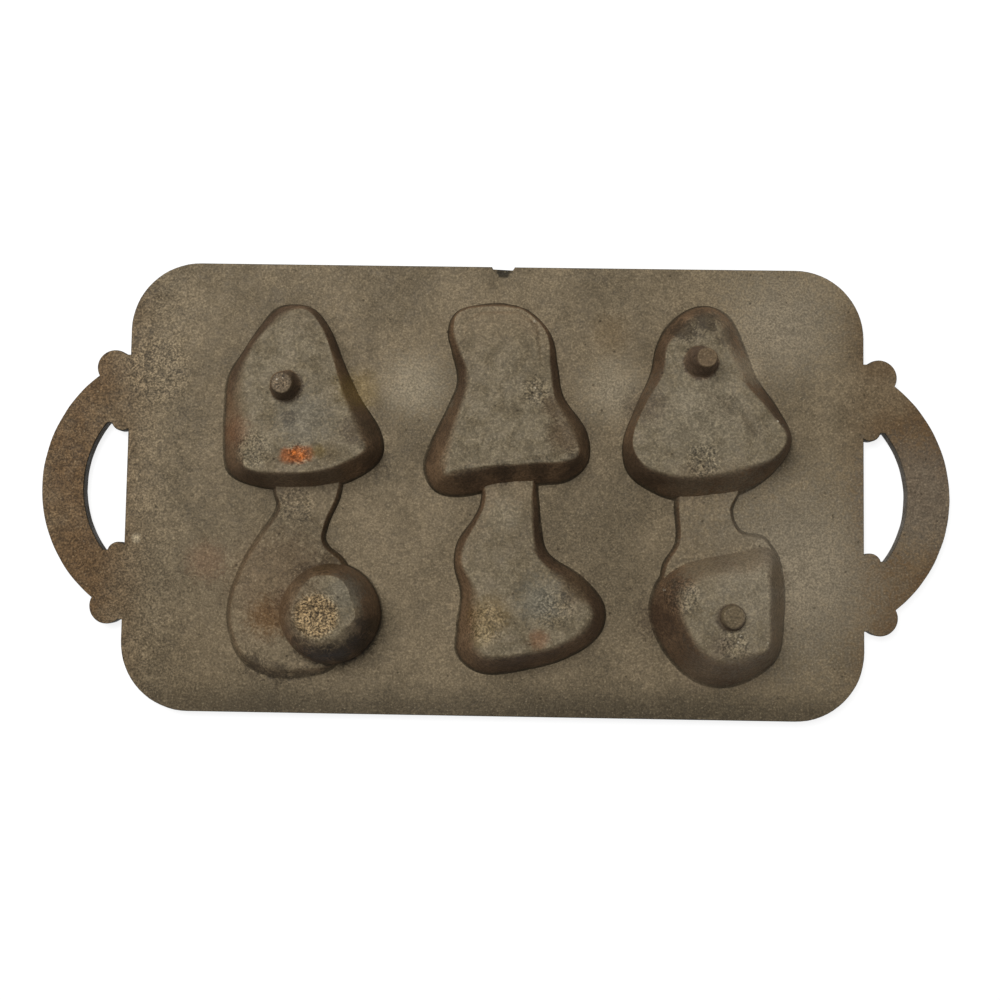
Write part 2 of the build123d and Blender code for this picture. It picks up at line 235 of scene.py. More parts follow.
stemMiddle = {
    "node": "stem_middle",
    "width": 59.0,
    "length": 82.1,
    "tip": 2.5,
    "rim": 14.0,
    "swell": 1.2,  # above 1 the neck stays low for longer before the stem rises
    "dome": 1.1,
    "domeReach": 9.0,
    "rough": 0.42,
    "outline": [
        (4, 82.1, 2, 0.3), (-7, 79, 2, 0.3), (-7.6, 69, 2.2, 0.5), (-8.4, 64.8, 2.2, 0.5),
        (-10.8, 60, 2.5, 0.5), (-16.5, 51, 4, 0.6), (-17.6, 42, 4.2, 0.65), (-15.1, 31, 8, 0.7),
        (-16.4, 18, 11.2, 0.65), (-15.8, 6.8, 10.8, 0.55), (-6, 0, 9, 0.4), (11, 1.8, 8.2, 0.35),
        (27, 7, 7.7, 0.4), (38.5, 16, 8.3, 0.55), (40, 27.5, 7.3, 0.65), (31, 38.8, 8.5, 0.75),
        (18.5, 47.5, 5.5, 0.65), (15.6, 59, 4.2, 0.5), (14.6, 69, 3.4, 0.5), (12.6, 79, 2, 0.3),
    ],
    "marks": [
        (4.9, -21.9, 6, -0.5), (6, -32, 5, 0.35), (18.6, -42.7, 6, -0.35), (0, -45, 5, 0.3),
        (28, -48, 4, 0.3), (8.2, -57, 3.5, 0.3), (15.3, -24.4, 1.2, 0.35), (21.5, -30.5, 1.2, 0.35),
    ],
    "creases": [
        (0.9, 0.4, [(15.3, -24.4), (21.5, -30.5)]), (0.9, 0.4, [(-4.5, -55.6), (3.6, -58.6), (18, -56.6)]),
    ],
}
neckRight = {
    "node": "stem_right",
    "lineOf": "cap_right",  # its outline is given from the cap's own middle line
    "shift": 5.0,
    "raise": nodeBox("bulb_right")[0].y + 29.0 - nodeBox("cap_right")[0].y,  # starts 29 mm up the bulb
    "width": 45.0,
    "length": 57.2,
    "tip": 2.5,
    "rim": 2.5,
    "dome": 0.25,
    "domeReach": 5.0,
    "rough": 0.12,
    "outline": [
        (1, 86.2, 2, 0.3), (-10, 83, 2, 0.3), (-12.8, 72, 2, 0.3), (-12.3, 57, 2, 0.3), (-17.5, 47, 2, 0.3),
        (-17, 36, 2, 0.3), (-5, 30, 2, 0.3), (12, 29.5, 2, 0.3), (24, 38, 2, 0.3), (27.5, 50, 2, 0.3),
        (23, 59, 2, 0.3), (13.5, 61.7, 2, 0.3), (10.4, 69, 2, 0.3), (13, 79, 2, 0.3),
    ],
    "marks": [(80, -10, 4, -0.2)],
}
bulbRight = {
    "node": "bulb_right",
    "width": 52.6,
    "length": 55.5,
    "tip": 14.0,
    "rim": 17.0,
    "dome": 1.1,
    "domeReach": 8.0,
    "rough": 0.4,
    "outline": [
        (-5, 50, 9, 0.85), (-17, 44, 12, 0.7), (-22.3, 33, 12.5, 0.4), (-21, 22, 12.3, 0.25),
        (-14, 10, 11.8, 0.2), (-4, 2, 12.7, 0.25), (7, 0, 13.5, 0.35), (19, 4, 13, 0.4),
        (28, 12.5, 9.6, 0.3), (30.3, 27, 9.8, 0.2), (30, 43, 10, 0.25), (25, 55, 12, 0.85),
        (12, 53.5, 10, 0.9),
    ],
    "marks": [
        (66.5, -26.5, 2.4, 0.6), (71, -30.5, 2.4, 0.5), (93.7, -53.2, 1, 0.4), (85.9, -58.1, 1, 0.35),
        (72, -38, 2, 0.35), (84, -35, 5, -0.35), (97, -34, 4, 0.3), (90, -26, 3, 0.3),
    ],
}
ballLeft = {
    "node": "ball_left",
    "radius": 20.5,
    "fillet": 1.3,
    "flat": 11.2,  # radius of the spot that is ground flat at the foot plane
    "offMiddle": 3.2,  # how far that spot sits towards the cap
    "ragged": 2.2,  # unevenness of that spot's edge, from noise round a small circle
    "raggedRound": 3,
    "raggedSize": 1.7,
    "fullness": 2.55,  # 2 is a sphere, above it the top is broader
    "corners": 24,
    "dome": 0.0,
    "domeReach": 5.0,
    "rough": 0.03,
    "marks": [
        (-79.9, -62.8, 1.3, 0.35), (-74.2, -65.6, 1.2, 0.3), (-50, -40, 2.5, -0.3),
        (-80, -45, 3, 0.25),
    ],
}


def smoothLoop(points, steps):
    # A round curve through the given points, with a handle of a third of each span
    loop = []
    count = len(points)
    for number, point in enumerate(points):
        after = points[(number + 1) % count]
        lean = (after - points[number - 1]).normalized()
        nextLean = (points[(number + 2) % count] - point).normalized()
        reach = (after - point).length / 3
        span = interpolate_bezier(point, point + lean * reach, after - nextLean * reach, after, steps + 1)
        loop.extend(span[:-1])
    return loop


def spread(values, steps):
    # Carries a value of the given points along the loop
    count = len(values)
    return [
        values[number] + (values[(number + 1) % count] - values[number]) * step / steps
        for number in range(count)
        for step in range(steps)
    ]


def placeOutline(piece):
    # Stretches the given points to the piece's size, and puts them on the middle line and foot of its node
    low, high = nodeBox(piece.get("lineOf", piece["node"]))
    middle = (low.x + high.x) / 2 + piece.get("shift", 0.0)
    foot = low.y + piece.get("raise", 0.0)
    rows = piece["outline"]
    left = min(row[0] for row in rows)
    bottom = min(row[1] for row in rows)
    stretchX = piece["width"] / (max(row[0] for row in rows) - left)
    stretchY = piece["length"] / (max(row[1] for row in rows) - bottom)
    piece["foot"] = foot
    piece["points"] = []
    for row in rows:
        x = middle + (row[0] - left) * stretchX - piece["width"] / 2
        y = foot + (row[1] - bottom) * stretchY
        piece["points"].append(Vector((x, y, 0)))
    piece["runs"] = [row[2] for row in rows]
    piece["softs"] = [row[3] for row in rows]


def placeBall(piece):
    low, high = nodeBox(piece["node"])
    middle = (low + high) / 2
    radius = piece["radius"]
    around = piece["raggedRound"]
    piece["foot"] = low.y
    piece["length"] = high.y - low.y
    piece["points"] = []
    piece["runs"] = []
    for number in range(piece["corners"]):
        turn = 2 * pi / piece["corners"] * number
        x, y = cos(turn), sin(turn)
        piece["points"].append(Vector((middle.x + radius * x, middle.y + radius * y, 0)))
        ragged = piece["ragged"] * waves(around * x, around * y, piece["raggedSize"], 7.3)
        piece["runs"].append(radius - piece["flat"] - piece["offMiddle"] * y + ragged)
    piece["softs"] = [0.0] * piece["corners"]
    piece["tip"] = piece["rim"] = footTop - plateTop


def drawnIn(points, distances):
    # Moves each point of an anticlockwise loop inwards
    moved = []
    for number, point in enumerate(points):
        along = (points[(number + 1) % len(points)] - points[number - 1]).normalized()
        moved.append(point + Vector((-along.y, along.x, 0)) * distances[number])
    return moved


def rimHeight(piece, y):
    share = 1 - (y - piece["foot"]) / piece["length"]
    share = min(1.0, max(0.0, share)) ** piece.get("swell", 1.0)
    return piece["tip"] + (piece["rim"] - piece["tip"]) * share


# Rows of points up a wall, as shares of its run
wallShares = (0.0, 0.04, 0.09, 0.16, 0.26, 0.38, 0.5, 0.61, 0.7, 0.78, 0.85, 0.91, 0.96, 1.0)
ballSteps = 22
ballFoot = ((0.0, 0.0), (0.45, 0.012), (0.8, 0.04))  # the rows before them: (share of the fillet, height)
ballStart = 0.07  # the least height of the other rows


def wallRise(share, soft):
    # Height of the wall, from 0 to 1: a small fillet at its foot, a straight slope, then a round shoulder
    fillet, footSlope, topSlope = 0.1, 0.45, 0.12
    shoulder = 1 - soft

    def climbed(at):
        if at < fillet:
            return footSlope * at + (1 - footSlope) * at * at / (2 * fillet)
        rise = (1 + footSlope) * fillet / 2 + min(at, shoulder) - fillet
        if at > shoulder:
            past = at - shoulder
            rise += past - (1 - topSlope) * past * past / (2 * soft)
        return rise

    return climbed(share) / climbed(1.0)


def ballProfile(piece):
    # Shares of the way in and up, from the foot to the ground spot
    radius = piece["radius"] - piece["fillet"]
    power = 2 / piece["fullness"]
    lastTurn = acos((piece["flat"] / radius) ** (1 / power))
    lastHeight = sin(lastTurn) ** power
    span = piece["radius"] - piece["flat"]
    rows = [(share * piece["fillet"] / span, height) for share, height in ballFoot]
    for step in range(1, ballSteps + 1):
        turn = lastTurn * step / ballSteps
        out = radius * cos(turn) ** power
        rows.append(((piece["radius"] - out) / span, max(ballStart, sin(turn) ** power / lastHeight)))
    return rows


def bulgeRings(piece, hollow):
    # Rows of points from the foot of the wall up to the crown's edge
    steps = casting["spanSteps"]
    inset = casting["wall"] if hollow else 0.0
    crownInset = casting["ceilingInset"] if hollow else 0.0
    base = smoothLoop(drawnIn(piece["points"], [inset] * len(piece["points"])), steps)
    edge = smoothLoop(drawnIn(piece["points"], [run + crownInset for run in piece["runs"]]), steps)
    softs = spread(piece["softs"], steps)
    level = plateTop - inset
    rings = []
    profile = ballProfile(piece) if "radius" in piece else [(share, None) for share in wallShares]
    for across, height in profile:
        ring = []
        for number, (foot, crown) in enumerate(zip(base, edge)):
            up = wallRise(across, softs[number]) if height is None else height
            point = foot.lerp(crown, across)
            start = level if hollow else deckHeight(foot.x, foot.y)
            top = level + rimHeight(piece, crown.y)
            bump = 0.0
            if not hollow:
                out = (foot - crown).normalized()
                push = sum(
                    strength * waves(point.x, point.y + up * shift, size, seed)
                    for strength, size, seed, shift in casting["wallWaves"]
                )
                window = sin(pi * min(1.0, up))  # the wall's two ends stay where they are
                point = point + out * push * window * piece["rough"] / casting["wallRough"]
                bump = relief(point.x, point.y, piece) * up
            point.z = start + (top - start) * up + bump
            ring.append(point)
        rings.append(ring)
    return rings


def newPiece(name, bm):
    mesh = bpy.data.meshes.new(name)
    bm.to_mesh(mesh)
    bm.free()
    piece = bpy.data.objects.new(name, mesh)
    bpy.context.scene.collection.objects.link(piece)
    return piece


def extruded(bm, edges):
    # Extrudes a loop of edges, and gives the new points and the new loop
    made = bmesh.ops.extrude_edge_only(bm, edges=edges)["geom"]
    fresh = [item for item in made if isinstance(item, bmesh.types.BMVert)]
    known = set(fresh)
    loop = [
        item for item in made
        if isinstance(item, bmesh.types.BMEdge) and item.verts[0] in known and item.verts[1] in known
    ]
    return fresh, loop


def stackRings(rings):
    # One closed wall: a circle is moved to the first ring, and each next ring is extruded from the one before
    bm = bmesh.new()
    bmesh.ops.create_circle(bm, segments=len(rings[0]), radius=1)
    bm.verts.ensure_lookup_table()
    row = list(bm.verts)
    bottomEdges = list(bm.edges)
    edges = bottomEdges
    for vert, point in zip(row, rings[0]):
        vert.co = point
    for ring in rings[1:]:
        order = {vert: number for number, vert in enumerate(row)}
        fresh, edges = extruded(bm, edges)
        place = {}
        for vert in fresh:
            for edge in vert.link_edges:
                other = edge.other_vert(vert)
                if other in order:
                    place[vert] = order[other]
        row = sorted(fresh, key=place.get)
        for vert, point in zip(row, ring):
            vert.co = point
    bmesh.ops.edgeloop_fill(bm, edges=bottomEdges)
    return bm, edges


def cutGrid(bm, faces, spacing):
    # Cuts flat faces both ways into a grid, and gives its points
    geom = dict.fromkeys(faces)  # a dictionary and not a set, so that its order is the same each run
    for face in faces:
        geom.update(dict.fromkeys(face.edges))
        geom.update(dict.fromkeys(face.verts))
    geom = list(geom)
    corners = [vert.co for face in faces for vert in face.verts]
    for axis in (0, 1):
        low = min(corner[axis] for corner in corners)
        high = max(corner[axis] for corner in corners)
        normal = Vector((1, 0, 0)) if axis == 0 else Vector((0, 1, 0))
        for number in range(1, int((high - low) / spacing) + 1):
            cut = normal * (low + (number - casting["offGrid"]) * spacing)
            geom = bmesh.ops.bisect_plane(bm, geom=geom, dist=1e-5, plane_co=cut, plane_no=normal)["geom"]
    return [item for item in geom if isinstance(item, bmesh.types.BMVert)]


# Rows of a hollow's rounded mouth: (height over the baking face, share of the rounding that it stands out)
mouthRows = ((-casting["overlap"], 1.0), (0.0, 0.75), (0.35, 0.35), (0.9, 0.08))


def makeBulge(piece, hollow=False, low=0.0):
    rings = bulgeRings(piece, hollow)
    edgeRing = rings[-1]
    if hollow:
        mouth = []
        for height, out in mouthRows:
            ring = drawnIn(rings[0], [-casting["mouthRound"] * out] * len(rings[0]))
            for point in ring:
                point.z = height
            mouth.append(ring)
        rings = mouth + rings
    else:
        rings = [[Vector((point.x, point.y, low)) for point in rings[0]]] + rings
    bm, edges = stackRings(rings)
    crown = bmesh.ops.edgeloop_fill(bm, edges=edges)["faces"]
    verts = cutGrid(bm, crown, casting["hollowGrid"] if hollow else casting["crownGrid"])
    tree = KDTree(len(edgeRing))
    for number, point in enumerate(edgeRing):
        tree.insert(Vector((point.x, point.y, 0)), number)
    tree.balance()
    level = plateTop - (casting["wall"] if hollow else 0.0)
    for vert in verts:
        x, y = vert.co.x, vert.co.y
        inside = max(0.0, tree.find(Vector((x, y, 0)))[2] - casting["crownEdge"])
        dome = piece["dome"] * (1 - exp(-inside / piece["domeReach"]))
        height = level + rimHeight(piece, y) + dome
        if not hollow:
            settled = 1 - exp(-((inside / casting["crownSettle"]) ** 2))
            uneven = sum(rise * waves(x, y, size, seed) for rise, size, seed in casting["crownWaves"])
            height += settled * (uneven * piece["rough"])
        vert.co.z = height
        if not hollow:
            vert.co.z += relief(x, y, piece)
            vert.co.z = min(vert.co.z, footTop)
    bmesh.ops.recalc_face_normals(bm, faces=bm.faces)
    return newPiece(piece["node"] + ("Hollow" if hollow else ""), bm)


def makePrism(ring, low, high):
    rings = [[Vector((point.x, point.y, height)) for point in ring] for height in (low, high)]
    bm, edges = stackRings(rings)
    bmesh.ops.edgeloop_fill(bm, edges=edges)
    bmesh.ops.recalc_face_normals(bm, faces=bm.faces)
    return newPiece("prism", bm)


def combine(piece, cutter, operation="DIFFERENCE"):
    step = piece.modifiers.new("step", "BOOLEAN")
    step.operation = operation
    step.object = cutter
    step.solver = "MANIFOLD"
    graph = bpy.context.evaluated_depsgraph_get()
    mesh = bpy.data.meshes.new_from_object(piece.evaluated_get(graph))
    piece.modifiers.clear()
    piece.data = mesh
    if not mesh.polygons:
        raise RuntimeError(piece.name + " came out empty")


def discard(pieces):
    for piece in pieces:
        bpy.data.objects.remove(piece)


bulges = [capLeft, capMiddle, capRight, stemLeft, stemMiddle, neckRight, bulbRight]
for piece in bulges:
    placeOutline(piece)
placeBall(ballLeft)
bulges.append(ballLeft)

full = {}
cutters = {}
hollows = {}
prisms = {}
for piece in bulges:
    name = piece["node"]
    full[name] = makeBulge(piece)
    cutters[name] = makeBulge(piece, low=-casting["overlap"])
    hollows[name] = makeBulge(piece, hollow=True)
    piece["baseLoop"] = bulgeRings(piece, hollow=False)[0]
    prisms[name] = makePrism(piece["baseLoop"], -casting["overlap"], plateTop + casting["overlap"])
    print("bulge", name, len(full[name].data.polygons))

# What is cut from each bulge: the neighbours that run into it, and the hollows that it takes part in
carving = {
    "cap_left": ([], ["cap_left", "stem_left"]),
    "cap_middle": ([], ["cap_middle", "stem_middle"]),
    "cap_right": ([], ["cap_right", "stem_right"]),
    "stem_left": (["cap_left", "ball_left"], ["stem_left"]),
    "stem_middle": (["cap_middle"], ["stem_middle"]),
    "stem_right": (["cap_right", "bulb_right"], ["stem_right"]),
    "ball_left": ([], ["ball_left", "stem_left"]),
    "bulb_right": ([], ["bulb_right", "stem_right"]),
}
for name, (neighbours, spaces) in carving.items():
    for neighbour in neighbours:
        combine(full[name], cutters[neighbour])
    for space in spaces:
        combine(full[name], hollows[space])
    print("carved", name, len(full[name].data.polygons))


# Plate: the frame's own outline with its handles, filled under the bulges, with an uneven sand cast top
def mergedCopy(name):
    # A node's mesh is loose triangles in metres
    bm = bmesh.new()
    bm.from_mesh(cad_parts[name].data)
    bmesh.ops.remove_doubles(bm, verts=bm.verts, dist=1e-7)
    bmesh.ops.scale(bm, vec=Vector((1 / mm, 1 / mm, 1 / mm)), verts=bm.verts)
    return newPiece(name + "Copy", bm)


def unevenBlock(lowX, highX):
    # A block whose top follows the sand cast surface of the plate
    reachY = halfWidth + 2 * casting["overlap"]
    spacing = casting["deckGrid"]
    columns = round((highX - lowX) / spacing)
    rows = round(2 * reachY / spacing)
    bm = bmesh.new()
    bmesh.ops.create_grid(bm, x_segments=columns, y_segments=rows, size=0.5)
    for vert in bm.verts:
        vert.co.x = lowX + (vert.co.x + 0.5) * (highX - lowX)
        vert.co.y *= 2 * reachY
        vert.co.z = deckHeight(vert.co.x, vert.co.y)
    lower, bottom = extruded(bm, [edge for edge in bm.edges if edge.is_boundary])
    for vert in lower:
        vert.co.z = -casting["overlap"]
    bmesh.ops.edgeloop_fill(bm, edges=bottom)
    bmesh.ops.recalc_face_normals(bm, faces=bm.faces)
    return newPiece("block", bm)


whole = mergedCopy("deck")
for name in ("handle_left", "handle_right"):
    part = mergedCopy(name)
    combine(whole, part, "UNION")
    discard([part])
for piece in bulges:
    around = drawnIn(piece["baseLoop"], [-casting["filling"]] * len(piece["baseLoop"]))
    filling = makePrism(around, 0.0, plateTop)
    combine(whole, filling, "UNION")
    discard([filling])
# The low ledge of broken iron inside the gate mark: its ends and back, and how far it stays inside the edge
gate = {"left": -3.5, "right": 8.0, "depth": 5.0, "short": 0.4, "slant": 0.5, "height": 2.6}
ledgeBack = halfWidth - gate["depth"]
ledgeFront = halfWidth - gate["short"]
ledgeCorners = [
    Vector((gate["left"], ledgeBack, 0)),
    Vector((gate["right"], ledgeBack, 0)),
    Vector((gate["right"], ledgeFront - gate["slant"], 0)),
    Vector((gate["left"], ledgeFront, 0)),
]
ledge = makePrism(ledgeCorners, 0.0, gate["height"])
combine(whole, ledge, "UNION")
discard([ledge])
for vert in whole.data.vertices:
    x, y = vert.co.x, vert.co.y
    inward = Vector((-x / hypot(x, y), -y / hypot(x, y), 0))
    vert.co += inward * plate["edgeWave"] * abs(waves(x, y, plate["edgeSize"], 5.5))
blockEnd = handleEnd + 2 * casting["overlap"]
plateParts = {
    "handle_left": (-blockEnd, -halfLength),
    "deck": (-halfLength, halfLength),
    "handle_right": (halfLength, blockEnd),
}
for name, (lowX, highX) in plateParts.items():
    block = unevenBlock(lowX, highX)
    combine(block, whole, "INTERSECT")
    if name == "deck":
        for prism in prisms.values():
            combine(block, prism)
    full[name] = block
    print("plate part", name, len(block.data.polygons))

# Foot pegs: tapered, and flared where they leave the crown. Base and top are radii.
pegs = {
    "foot_peg_left": {
        "on": "cap_left", "base": 5.6, "top": 4.0, "round": 0.8, "flare": 1.1, "lean": (-0.2, 0.1),
    },
    "foot_peg_right": {
        "on": "cap_right", "base": 5.7, "top": 3.9, "round": 0.6, "flare": 1.2, "lean": (0.5, 0.4),
    },
    "foot_peg_stem": {
        "on": "bulb_right", "base": 4.9, "top": 4.3, "round": 0.9, "flare": 0.6, "lean": (0.2, 0.2),
    },
}
pegShape = {
    "points": 72,
    "riseSteps": 10,
    "roundSteps": 5,
    "sink": 2.0,       # how deep a peg begins under its crown, before the crown is cut from it
    "flareFade": 4,
    "lump": 0.09,      # unevenness of the side, as a share of its radius
    "lumpSize": 4,
    "topGrid": 0.6,
    "topMargin": 0.2,  # the wear on the top keeps this far from its rounding
    "wear": 0.16,
    "wearSize": 1.5,
}


def makePeg(name, peg):
    low, high = nodeBox(name)
    middle = (low + high) / 2
    rows = [(peg["base"] + peg["flare"], low.z - pegShape["sink"], 0.0)]
    climb = footTop - peg["round"] - low.z
    for step in range(pegShape["riseSteps"] + 1):
        share = step / pegShape["riseSteps"]
        flare = peg["flare"] * exp(-share * pegShape["flareFade"])
        radius = peg["base"] + (peg["top"] - peg["base"]) * share + flare
        rows.append((radius, low.z + climb * share, share))
    for step in range(1, pegShape["roundSteps"] + 1):
        turn = pi / 2 * step / pegShape["roundSteps"]
        radius = peg["top"] - peg["round"] * (1 - cos(turn))
        rows.append((radius, footTop - peg["round"] * (1 - sin(turn)), 1.0))
    rings = []
    lean = Vector((*peg["lean"], 0.0))
    for radius, height, share in rows:
        centre = Vector((middle.x, middle.y, height)) + lean * (2 * share - 1)
        ring = []
        for number in range(pegShape["points"]):
            turn = 2 * pi * number / pegShape["points"]
            out = Vector((cos(turn), sin(turn), 0.0)) * radius
            lump = waves(centre.x + out.x, centre.y + out.y + height, pegShape["lumpSize"], 1.1)
            ring.append(centre + out * (1 + pegShape["lump"] * lump))
        rings.append(ring)
    bm, edges = stackRings(rings)
    top = bmesh.ops.edgeloop_fill(bm, edges=edges)["faces"]
    for vert in cutGrid(bm, top, pegShape["topGrid"]):
        away = hypot(vert.co.x - middle.x - lean.x, vert.co.y - middle.y - lean.y)
        if away < peg["top"] - peg["round"] - pegShape["topMargin"]:
            vert.co.z -= pegShape["wear"] * abs(waves(vert.co.x, vert.co.y, pegShape["wearSize"], 5.1))
    bmesh.ops.recalc_face_normals(bm, faces=bm.faces)
    piece = newPiece(name, bm)
    combine(piece, cutters[peg["on"]])
    return piece


for name, peg in pegs.items():
    full[name] = makePeg(name, peg)
discard(list(cutters.values()) + list(hollows.values()) + list(prisms.values()) + [whole])


def finishMesh(name, piece):
    bm = bmesh.new()
    bm.from_mesh(piece.data)
    bmesh.ops.remove_doubles(bm, verts=bm.verts, dist=casting["weld"])
    bmesh.ops.dissolve_degenerate(bm, edges=bm.edges, dist=casting["weld"] / 2)
    bmesh.ops.triangulate(bm, faces=[face for face in bm.faces if len(face.verts) > 4])
    sameCorners = {}
    for face in bm.faces:
        sameCorners.setdefault(frozenset(face.verts), []).append(face)
    strays = [face for faces in sameCorners.values() if len(faces) > 1 for face in faces]  # back to back
    bmesh.ops.delete(bm, geom=strays, context="FACES")
    for face in bm.faces:
        face.smooth = True
    for edge in bm.edges:
        edge.smooth = edge.calc_face_angle(0.0) < casting["smoothAngle"]
    bmesh.ops.scale(bm, vec=Vector((mm, mm, mm)), verts=bm.verts)
    loose = sum(1 for edge in bm.edges if not edge.is_manifold)
    print("finished", name, len(bm.faces), "open edges", loose)
    bm.to_mesh(piece.data)
    bm.free()
    piece.data.materials.clear()
    piece.name = "iron_" + name
    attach(piece, "root")
    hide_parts(name)


for name, piece in full.items():
    finishMesh(name, piece)


def linear(code):
    # An sRGB hex colour as the linear values that a shader takes
    parts = [int(code[place:place + 2], 16) / 255 for place in (1, 3, 5)]
    parts = [part / 12.92 if part <= 0.04045 else ((part + 0.055) / 1.055) ** 2.4 for part in parts]
    return (*parts, 1.0)


# Settings that many nodes share
smooth = {"interpolation_type": "SMOOTHSTEP"}
blend = {"data_type": "RGBA"}
shade = {"data_type": "RGBA", "blend_type": "MULTIPLY"}
times = {"operation": "MULTIPLY"}
plus = {"operation": "ADD"}
timesPlus = {"operation": "MULTIPLY_ADD"}
greater = {"operation": "MAXIMUM"}
unsigned = {"operation": "ABSOLUTE"}


def addNode(tree, kind, settings, values):
    # Settings are the node's own. Values go into its sockets, by name or number: a number, a colour, or a
    # node or socket to link.
    node = tree.nodes.new("ShaderNode" + kind)
    for key, value in settings.items():
        setattr(node, key, value)
    for key, value in values.items():
        named = (item for item in node.inputs if item.enabled and item.name == key)
        socket = node.inputs[key] if isinstance(key, int) else next(named)
        if isinstance(value, bpy.types.Node):
            value = next(item for item in value.outputs if item.enabled)
        if isinstance(value, bpy.types.NodeSocket):
            tree.links.new(value, socket)
        else:
            socket.default_value = value
    return node


# Seasoned grey iron, cast in sand: dull, dark and finely grained. The crowns read a little greyer, partly
# from wear and partly as painted sheen, the walls are a darker red-brown, partly a film of oil and rust and
# partly painted shade, and the handles are browner from hands.
iron = {
    "flat": "#7a6c55",
    "flatDark": "#665a46",
    # crowns: greyer, partly from wear and partly as painted sheen
    "wornSheen": "#786d58",
    "wornSheenDark": "#655a46",
    # walls: a red-brown film of oil and rust, and darker than the tops as painted shade
    "side": "#644f3a",
    "sideDark": "#443527",
    "foot": "#2f291e",  # painted shade on the low walls, which reads as a dark line round each bulge; also the darker front edge
    "held": "#5c462d",
    # pale tan for the ridges: painted highlight along them, and wear
    "edge": "#8f7f63",
    # painted glint
    "glint": "#cfc4ae",
    "speck": "#ab9c80",
    # stroke: the dark folds of the skin, and also the painted shade in dents
    "stroke": "#3f362a",
    "pit": "#1f1810",
    "specular": 0.12,
    "pitSize": 3.4,
    "contrast": 0.22,
    "grainHeight": 0.3,  # as a share of the crinkles' height
    "pitDepth": 0.4,
    "bumpHeight": 0.6,   # millimetres
    "bumpStrength": 0.6,
}
# Patterns of the skin: (size in millimetres, detail, roughness, distortion)
patterns = {
    "blotch": (34.0, 5, 0.62, 0.0),
    "mottle": (7.0, 6, 0.66, 0.4),
    "crinkle": (2.6, 6, 0.7, 1.3),
    "grain": (0.8, 2, 0.6, 0.0),  # coarser than the real sand grain, so that it shows
}
# Masks of the skin: each reads a height, place, slope or pattern between the first two values, and gives
# the last two at these ends
spans = {
    "ragged": (0.0, 1.0, -0.16, 0.16),      # mottle, which frays the line between flat and wall
    "flat": (0.62, 1.0, 0.0, 1.0),          # how far a surface faces up
    "raised": (8.5, 15.0, 0.0, 1.0),        # height of the crowns
    "low": (plateTop - 0.2, plateTop + 2.8, 0.95, 0.0),  # height, at the foot of the walls, for their painted shade
    "held": (128.0, 160.0, 0.0, 0.9),       # distance sideways, out to the handles
    "patchy": (0.3, 0.6, 0.5, 1.0),         # blotch
    "pitted": (-150.0, -105.0, 0.16, 0.0),  # contrast that the left end has more of
    "tone": (0.36, 0.64, 0.0, 1.0),         # blotch
    "wear": (0.36, 0.66, 0.0, 1.0),         # mottle
    "frontEdgeDark": (-87.0, -72.0, 0.6, 0.0),      # darker along the front edge below the stems
    "outside": (-0.1, 0.0, 0.0, 1.0),       # none where a surface faces down
    "ridgeWearAndHighlight": (0.5, 0.62, 0.0, 0.2),        # pointiness of the ridges: painted highlight and wear
    "dentShade": (0.44, 0.49, 0.4, 0.0),         # and of the dents, for painted shade in them
    "swing": (0.36, 0.64, -1.0, 1.0),       # crinkle and grain
    "clustered": (0.48, 0.62, 0.0, 1.0),    # mottle, where strokes and pits gather
    "stroke": (0.0, 0.02, 0.5, 0.0),        # the crinkles' folds
    "speck": (0.62, 0.74, 0.0, 0.45),       # grain
    "pit": (0.08, 0.2, 0.6, 0.0),           # distance from a pit's middle, in pit sizes
    "dull": (0.3, 0.7, 0.4, 0.64),          # mottle, giving the surface's roughness
}
